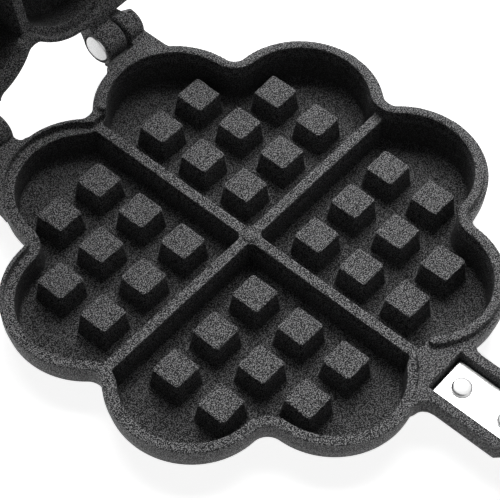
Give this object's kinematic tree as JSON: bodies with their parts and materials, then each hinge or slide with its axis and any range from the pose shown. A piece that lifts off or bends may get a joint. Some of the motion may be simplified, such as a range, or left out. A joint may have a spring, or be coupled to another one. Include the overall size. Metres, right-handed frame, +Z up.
{
  "type": "heart waffle iron",
  "caption": "Stovetop waffle iron, open: hinged cast pans with heart-shaped wells and square studs, each on a riveted steel strap that runs into a long black grip.",
  "frame": {"origin": "middle of the lower pan's flat base, on the surface it stands on", "axes": "+Z up, +Y towards the hinge, so that the lower grip points to -Y, and +X along the hinge axis, to the right as seen from the lower grip"},
  "size_m": [0.1892, 0.4848, 0.3846],
  "materials": {
    "coated_casting": "cast aluminium under a dark, matt non-stick coating with fine light speckles",
    "bright_steel": "bright, finely brushed",
    "black_grip": "heat-resistant moulding, slightly glossy"
  },
  "bodies": {
    "lower": {"lower_pan": "coated_casting", "lower_hinge_pin": "bright_steel", "lower_strap": "bright_steel", "lower_strap_rivet_inner": "bright_steel", "lower_strap_rivet_outer": "bright_steel", "lower_grip": "black_grip", "lower_grip_rivet_inner": "bright_steel", "lower_grip_rivet_outer": "bright_steel", "lower_eyelet": "bright_steel"},
    "upper": {"upper_pan": "coated_casting", "upper_hinge_pin": "bright_steel", "upper_strap": "bright_steel", "upper_strap_rivet_inner": "bright_steel", "upper_strap_rivet_outer": "bright_steel", "upper_grip": "black_grip", "upper_grip_rivet_inner": "bright_steel", "upper_grip_rivet_outer": "bright_steel", "upper_eyelet": "bright_steel"}
  },
  "joints": [
    {"name": "pan_hinge", "type": "hinge", "parent": "lower", "child": "upper", "pos_m": [0, 0.1063, 0.0195], "axis": [1, 0, 0], "range_deg": [0, 105]}
  ]
}
